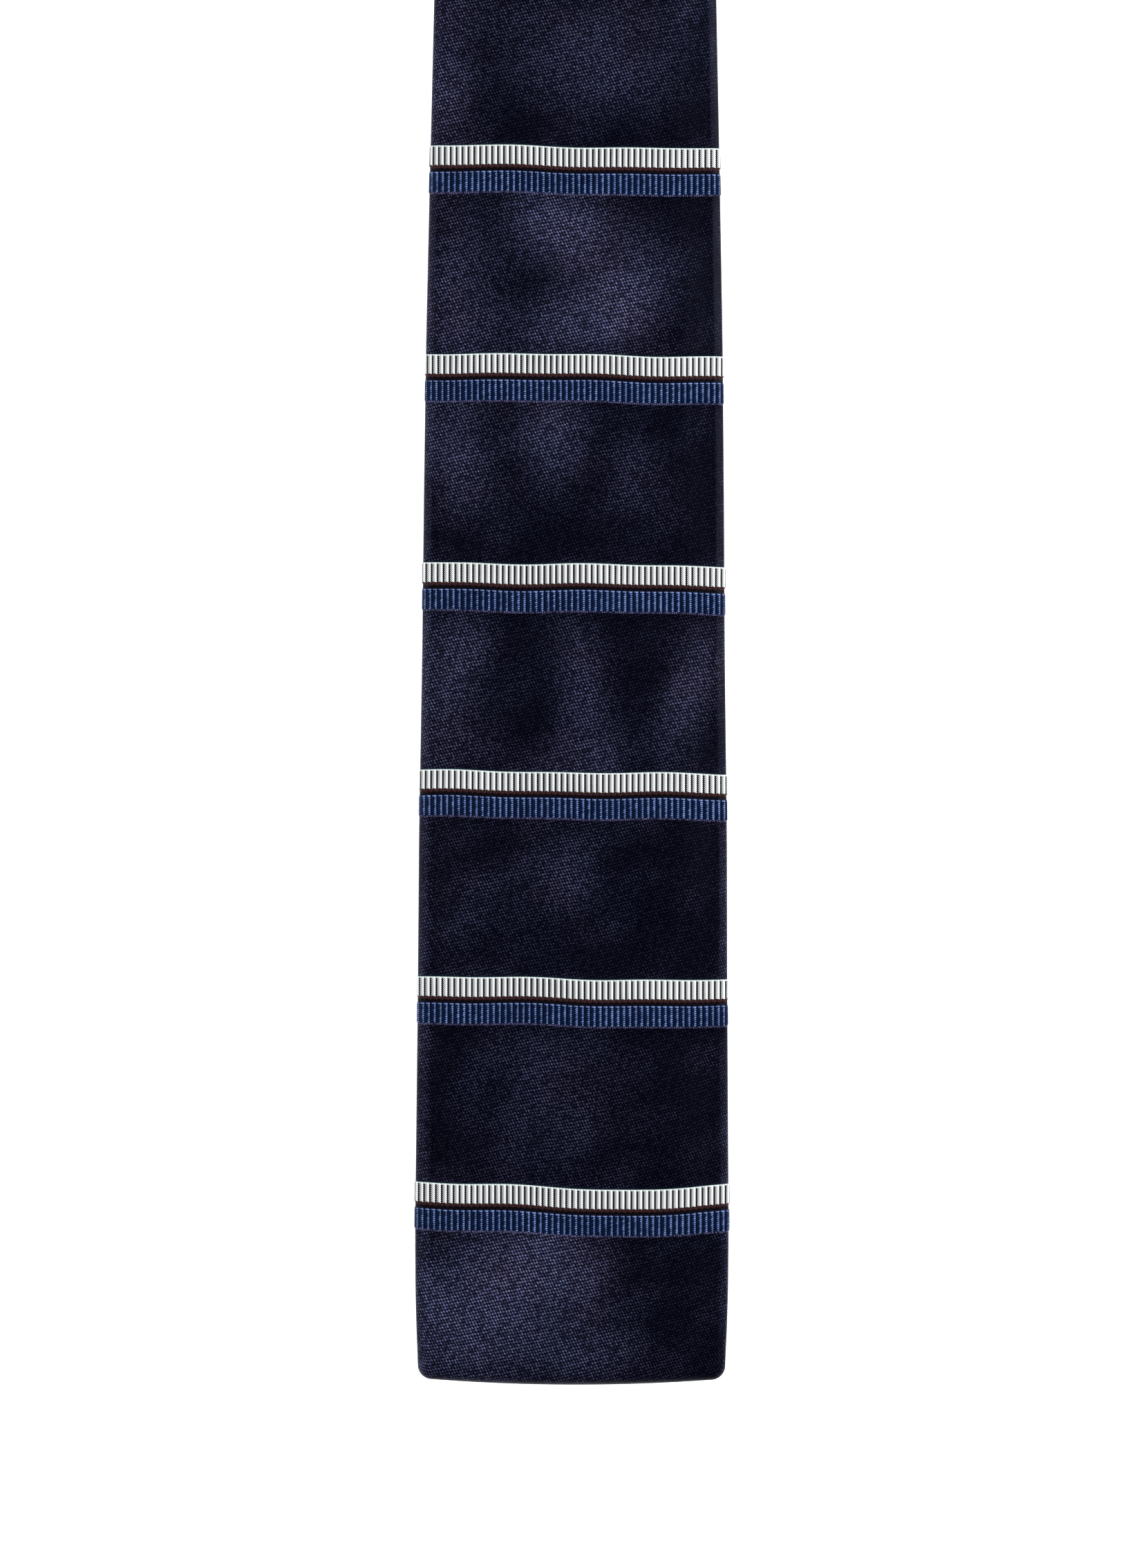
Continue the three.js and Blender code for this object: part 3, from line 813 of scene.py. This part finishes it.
def label_material():
    """A woven damask label: a narrow light border and a finer one inside it, round a blank field."""
    cloth = Cloth("label_cloth")
    centre = (name_low + name_high) / 2
    half = (name_high - name_low) / 2
    from_side = (cloth.u - centre.x / MM).size() * -1 + half.x / MM
    from_end = (cloth.v - (centre.y - blade_low.y) / MM).size() * -1 + half.y / MM
    inside = from_side.math("MINIMUM", from_end)
    border = inside.window(1.9, 2.0, 2.5, 2.6) + inside.window(3.0, 3.05, 3.25, 3.3) * 0.6
    row = (cloth.v / 0.22).fract().ramp(0.0, 0.5)
    lean = ((cloth.u + cloth.v) / 0.5).fract().ramp(0.2, 0.7)
    field = cloth.mix(lean * row * 0.8 + cloth.noise(6, 6) * 0.2, srgb(12, 15, 38), srgb(34, 42, 82))
    colour = cloth.mix(border * (row * 0.4 + 0.6), field, srgb(112, 120, 156))
    return cloth.finish(colour, 0.5, lean * row + border, 0.05, specular=0.25)


def felt_material():
    """Brushed wool interlining: fine fibres along it, a little mottled."""
    cloth = Cloth("wool_interlining")
    fibres = cloth.noise(0.5, 2.2, 4.0)
    mottled = cloth.noise(5, 6, 3.0)
    colour = cloth.mix(fibres * 0.6 + mottled * 0.5, srgb(196, 188, 170), srgb(233, 228, 214))
    return cloth.finish(colour, 0.95, fibres, 0.12, specular=0.1)


def thread_material(name, dark, light):
    """Two-ply sewing thread."""
    cloth = Cloth(name)
    ply = (cloth.v / 0.5 + cloth.u / 0.35).wave()
    return cloth.finish(cloth.mix(ply, dark, light), 0.55, ply, 0.03, specular=0.35)


# ---- camera, light and floor
def add_camera():
    data = bpy.data.cameras.new("camera")
    data.lens, data.sensor_width = LENS, SENSOR
    data.clip_start, data.clip_end = 0.01, 20
    camera = bpy.data.objects.new("camera", data)
    bpy.context.scene.collection.objects.link(camera)
    x, y = VIEW_CENTRE
    camera.location = (x, y, blade_high.z + VIEW_HEIGHT * LENS / SENSOR)
    camera.rotation_euler = (0, 0, VIEW_LEAN)
    bpy.context.scene.camera = camera


def add_area_light(name, place, size, watts, target=(0, -0.05, 0)):
    data = bpy.data.lights.new(name, "AREA")
    data.shape = "RECTANGLE"
    data.size, data.size_y = size
    data.energy = watts
    light = bpy.data.objects.new(name, data)
    bpy.context.scene.collection.objects.link(light)
    light.location = place
    direction = np.array(target) - np.array(place)
    pitch = math.atan2(math.hypot(direction[0], direction[1]), -direction[2])
    light.rotation_euler = (pitch, 0, math.atan2(-direction[0], direction[1]))


def add_studio():
    scene = bpy.context.scene
    scene.view_settings.view_transform = "Standard"
    world = bpy.data.worlds.new("studio")
    scene.world = world
    world.use_nodes = True
    background = world.node_tree.nodes["Background"]
    background.inputs[0].default_value = (1, 1, 1, 1)
    direction = world.node_tree.nodes.new("ShaderNodeTexCoord")
    split = world.node_tree.nodes.new("ShaderNodeSeparateXYZ")
    world.node_tree.links.new(direction.outputs["Generated"], split.inputs[0])
    tent = Value(world.node_tree, split.outputs[2]).ramp(0.45, 0.85, 0.75, 0.06)
    world.node_tree.links.new(tent.socket, background.inputs[1])
    add_area_light("key", (0.85, 0.25, 0.62), (0.5, 0.9), 14)
    add_area_light("fill", (-0.9, 0.0, 0.5), (0.4, 0.9), 6.5)
    bpy.ops.mesh.primitive_plane_add(size=6)
    floor = bpy.context.object
    floor.name = "floor"
    paper = bpy.data.materials.new("white_paper")
    paper.use_nodes = True
    shader = paper.node_tree.nodes["Principled BSDF"]
    shader.inputs["Base Color"].default_value = (0.92, 0.92, 0.92, 1)
    shader.inputs["Roughness"].default_value = 0.9
    shader.inputs["Specular IOR Level"].default_value = 0
    shader.inputs["Emission Color"].default_value = (1, 1, 1, 1)
    shader.inputs["Emission Strength"].default_value = 0.8
    floor.data.materials.append(paper)


# ---- the pieces inside and on the back
def attach(piece, body, slot, *nodes):
    """piece moves with body and stands for the nodes. slot is not used."""
    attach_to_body(piece, body)
    if nodes:
        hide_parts(*nodes)


def slab_piece(name, first, last, heights, inset, material, tip=None, step=1.5 * MM, thin=0.0):
    """A lining layer from first to last, with rounded edges, and thinner up to thin from its tip."""
    low, high = heights
    v = np.linspace(first, last, max(int((last - first) / step), 2) + 1)
    for turn in (FRONT_TURN, NECK_TURN, TAIL_TURN):
        v = np.append(v, np.linspace(turn.start, turn.start + turn.length, 25))
    v = np.unique(v[(v >= first) & (v <= last)].round(7))
    inward = 1 if tip == first else -1
    if tip is not None:
        v = np.unique(np.append(v, tip + np.array([0, 0.1, 0.3, 0.7]) * MM * inward).round(7))
    v = v[:, None]
    reach = half_width(v) - inset
    x = reach * np.linspace(-1, 1, 41)[None, :]
    s = v + 0 * x
    top = np.full(x.shape, high)
    if tip is not None:
        away = np.abs(v - tip)
        s = s + inward * end_curve(x, reach) * (1 - smooth(away / (15 * MM)))
        top = np.where(away < thin, WOOL_THIN, top)
    uneven = 0.03 * MM * ripples(x, v, 31, 6 * MM, 15 * MM)
    upper = lay(x, s, top + uneven)
    under = lay(x, s, low + uneven)
    middle = (low + top) / 2
    side = 0.15 * MM
    right = lay(x[:, -1:] + side, s[:, -1:], middle[:, -1:])
    left = lay(x[:, :1] - side, s[:, :1], middle[:, :1])
    points = np.concatenate([upper, right, under[:, ::-1], left], 1)
    ring_x = np.concatenate([x, x[:, -1:], x[:, ::-1], x[:, :1]], 1)
    uv = np.stack(np.broadcast_arrays(ring_x, v), -1)
    ring = points.shape[1]
    faces = ring_faces(len(v), ring)
    faces += [tuple(range(ring)), tuple(range((len(v) - 1) * ring, len(v) * ring))]
    return mesh_object(name, points, faces, material, uv)


def add_interlining(material):
    """Three lengths of wool, each crossing one fold."""
    first_join = UPPER_LAYER.start + UPPER_LAYER.length / 2
    second_join = NECK_LAYER.start + NECK_LAYER.length / 2
    end = TIE_LENGTH - WOOL_END
    lengths = {
        "interlining_front": (WOOL_END, first_join, WOOL_END, FRONT_TIPPING + 1 * MM),
        "interlining_neck": (first_join, second_join, None, 0),
        "interlining_tail": (second_join, end, end, TAIL_TIPPING + 1 * MM),
    }
    heights = (WOOL_LOW, WOOL_HIGH)
    return [
        slab_piece(name, first, last, heights, WOOL_INSET, material, tip=tip, thin=thin)
        for name, (first, last, tip, thin) in lengths.items()
    ]


def add_tippings(material):
    end = TIE_LENGTH - TIPPING_END
    heights = (WOOL_THIN + 0.12 * MM, WOOL_HIGH)
    for side, body, first, last, tip, flat in (
        ("front", "front_blade", TIPPING_END, FRONT_TIPPING, TIPPING_END, (0.060, FRONT_TIPPING)),
        ("tail", "root", TIE_LENGTH - TAIL_TIPPING, end, end, (0.042, TAIL_TIPPING)),
    ):
        name = side + "_tipping_lining"
        made = slab_piece(name, first, last, heights, TIPPING_INSET, material, tip=tip, step=0.8 * MM)
        attach(made, body, "tipping", side + "_tipping")


def add_threads(name, paths, radius, material, body, *nodes):
    attach(tubes_object(name, paths, radius, material), body, "thread", *nodes)


def slip_stitch_path(first, last):
    """One loose thread inside the lap, which comes out once a stitch to catch the upper flap's edge."""
    s = np.arange(first, last, 0.15 * MM)
    phase = np.mod(s - first, SLIP_STITCH)
    at, past, over = np.array(SLIP_CATCH).T * MM
    return lay(np.interp(phase, at, past) - LAP, s, THICK + np.interp(phase, at, over))


def add_slip_stitches(material):
    tack, clear = 6 * MM, 1 * MM
    for layer, body, first, last in (
        ("front_blade", "front_blade", FRONT_APEX + tack, FRONT_TURN.start - clear),
        ("front_upper", "front_upper", UPPER_LAYER.start + clear, NECK_TURN.start - clear),
        ("tail_upper", "tail_upper", NECK_LAYER.start + clear, TAIL_TURN.start - clear),
        ("tail", "root", TAIL_LAYER.start + clear, TIE_LENGTH - TAIL_APEX - tack),
    ):
        node = layer + "_slip_stitch"
        add_threads("thread_" + node, [slip_stitch_path(first, last)], THREAD, material, body, node)


def add_bar_tack(name, node, s, body, material):
    """A short dense bar of thread over the point where the flaps meet."""
    rng = np.random.default_rng(7)
    swing = np.linspace(-1, 1, 9)
    bow = 0.22 * MM * np.sqrt(np.clip(1 - swing**2, 0, 1))
    paths = []
    for x in np.linspace(-2.5, 2.5, 15) * MM:
        lean = rng.uniform(-0.06, 0.06) * MM
        paths.append(lay(x + lean * swing, s + 0.62 * MM * swing, THICK - 0.1 * MM + bow))
    for offset in (-0.3, 0.3):
        paths.append(lay(np.linspace(-2.8, 2.8, 25) * MM, s + offset * MM, THICK))
    add_threads(name, paths, 0.17 * MM, material, body, node)


def add_seam_thread(name, node, seam, body, material):
    """The machine stitches of a bias seam, which lie in its groove and dip at each end."""
    reach = half_width(seam) - 2.2 * MM
    stitch = 2.2 * MM
    along = np.linspace(0, 1, 9)
    dip = 0.25 * MM * (2 * along - 1) ** 4
    paths = []
    for x in np.arange(-reach, reach, stitch):
        at = x + along * stitch
        paths.append(lay(at, seam + at, 0.62 * MM + dip))
    add_threads(name, paths, THREAD, material, body, node)


def add_ribbon(name, node, slot, box, height_at, thickness, material, edge=0.0, haze=0.0):
    """A thin band or label on the back of the blade. height_at(x, s) is its underside's height."""
    corner, far = box
    xs = np.linspace(corner.x, far.x, 121)
    ys = np.linspace(corner.y, far.y, 41)
    x, s = np.meshgrid(xs, ys - blade_low.y)
    from_side = np.minimum(x - xs[0], xs[-1] - x)
    border = np.minimum(from_side, np.minimum(s - s[0, 0], s[-1, 0] - s))
    low = THICK + height_at(x, s)
    rise = thickness * (0.25 + 0.75 * smooth(border / (0.35 * MM)))
    top = low + (rise + edge * smooth(1 - border / (1.2 * MM)))
    points = np.concatenate([lay(x, s, top).reshape(-1, 3), lay(x, s, low).reshape(-1, 3)])
    total = x.size
    at = np.arange(total).reshape(x.shape)
    grid = np.stack([at[:-1, :-1], at[:-1, 1:], at[1:, 1:], at[1:, :-1]], -1).reshape(-1, 4)
    rim = np.concatenate([at[0], at[1:, -1], at[-1, -2::-1], at[-2:0:-1, 0]]).tolist()
    faces = grid.tolist() + (grid[:, ::-1] + total).tolist()
    faces += [(a, b, b + total, a + total) for a, b in zip(rim, rim[1:] + rim[:1])]
    uv = np.tile(np.stack([x, s], -1).reshape(-1, 2), (2, 1))
    # haze is stored on each point for a satin material to show as painted sheen
    made = mesh_object(name, points, faces, material, uv, np.full(2 * total, haze))
    attach(made, "front_blade", slot, node)


def add_keeper(material):
    """The keeper loop: a folded band of the same satin, sewn down at both ends."""
    tab = keeper_high.x - 3 * MM

    def arch(x, s):
        return 0.05 * MM + 0.42 * MM * smooth((tab - np.abs(x)) / (2.5 * MM))

    box = (keeper_low, keeper_high)
    # 0.5 sets the painted sheen of the keeper's satin
    add_ribbon("keeper_band", "keeper_loop", "silk", box, arch, 0.5 * MM, material, 0.08 * MM, 0.5)


def add_labels(name_cloth, care_cloth, thread):
    """The two blank labels, and all the stitches that hold them and the keeper."""
    over_back, name_thick, care_thick = 0.14 * MM, 0.28 * MM, 0.2 * MM

    def flat(x, s):
        return over_back + 0.03 * MM * np.sin(x / (5 * MM)) * np.sin(s / (7 * MM))

    box = (name_low, name_high)
    add_ribbon("woven_label", "name_label", "name_label", box, flat, name_thick, name_cloth)
    box = (care_low, care_high)
    add_ribbon("care_tab", "care_label", "care_label", box, flat, care_thick, care_cloth)
    edge = 1 * MM
    care_y = care_high.y - 0.9 * MM
    left, right = care_low.x + edge, care_high.x - edge
    stitches = stitch_row(left, right, care_y, care_y, over_back + care_thick)
    for low, high, inset, over in (
        (name_low, name_high, 0.9 * MM, over_back + name_thick),
        (keeper_low, keeper_high, 1.5 * MM, 0.58 * MM),
    ):
        for x in (low.x + inset, high.x - inset):
            stitches += stitch_row(x, x, low.y + edge, high.y - edge, over)
    add_threads("label_stitches", stitches, THREAD, thread, "front_blade")


def stitch_row(x0, x1, y0, y1, over):
    """Short stitches in a row on the back of the blade."""
    pitch = 1.6 * MM
    count = max(int(math.hypot(x1 - x0, y1 - y0) / pitch), 1)
    arc = THICK + over + 0.08 * MM * np.sin(np.linspace(0, math.pi, 7))
    rows = []
    for i in range(count):
        along = (i + np.linspace(0.1, 0.8, 7)) / count
        rows.append(lay(x0 + (x1 - x0) * along, y0 + (y1 - y0) * along - blade_low.y, arc))
    return rows


# ---- assembly
def add_silk(material):
    seams = (FRONT_SEAM, TAIL_SEAM)
    front = SilkPiece("silk_front", 0, FRONT_SEAM, 0, 30, 6, 0, FRONT_APEX, seams[:1])
    neck = SilkPiece("silk_neck", *seams, NECK_STRIPES, 20, 4, seams=seams)
    tail = SilkPiece(
        "silk_tail", TAIL_SEAM, TIE_LENGTH, TAIL_STRIPES, 20, 4, TIE_LENGTH, TAIL_APEX, seams[1:]
    )
    return [piece.build(material) for piece in (front, neck, tail)]


def join_fold(piece, nodes):
    """piece, which lies inside the layers across a fold, is fixed in place and stands for the nodes."""
    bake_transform(piece)
    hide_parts(*nodes)


FOLD_BODIES = {
    "front_fold": ("front_upper", "front_blade"),
    "neck_fold": ("tail_upper", "front_upper"),
    "tail_fold": ("root", "tail_upper"),
}

add_camera()
add_studio()
silk = silk_material()
navy_thread = thread_material("navy_thread", srgb(10, 11, 24), srgb(34, 36, 64))
lining = woven("tipping_lining", srgb(6, 6, 17), srgb(48, 49, 84), 0.4, 0.45, 0.15)
satin_band = keeper_material()
label_cloth = label_material()
care_cloth = woven("care_cloth", srgb(196, 195, 190), srgb(238, 237, 232), 0.25, 0.5)

SILK_NODES = {
    "front_fold": ("front_blade_silk", "front_fold_silk", "front_upper_silk"),
    "neck_fold": ("neck_silk_front", "neck_fold_silk", "neck_silk_tail"),
    "tail_fold": ("tail_upper_silk", "tail_fold_silk", "tail_silk"),
}
WOOL_NODES = {
    "front_fold": ("front_blade_interlining", "front_fold_interlining", "front_upper_interlining"),
    "neck_fold": ("neck_fold_interlining", "tail_upper_interlining"),
    "tail_fold": ("tail_fold_interlining", "tail_interlining"),
}

silks = dict(zip(SILK_NODES, add_silk(silk)))
wools = dict(zip(WOOL_NODES, add_interlining(felt_material())))
for fold in FOLD_BODIES:
    join_fold(silks[fold], SILK_NODES[fold])
    join_fold(wools[fold], WOOL_NODES[fold])

add_tippings(lining)
add_slip_stitches(navy_thread)
add_bar_tack("front_tack_threads", "front_bar_tack", FRONT_APEX + 4 * MM, "front_blade", navy_thread)
add_bar_tack("tail_tack_threads", "tail_bar_tack", TIE_LENGTH - TAIL_APEX - 4 * MM, "root", navy_thread)
add_seam_thread("front_seam_stitches", "front_seam_thread", FRONT_SEAM, "front_upper", navy_thread)
add_seam_thread("tail_seam_stitches", "tail_seam_thread", TAIL_SEAM, "tail_upper", navy_thread)
add_keeper(satin_band)
add_labels(label_cloth, care_cloth, navy_thread)
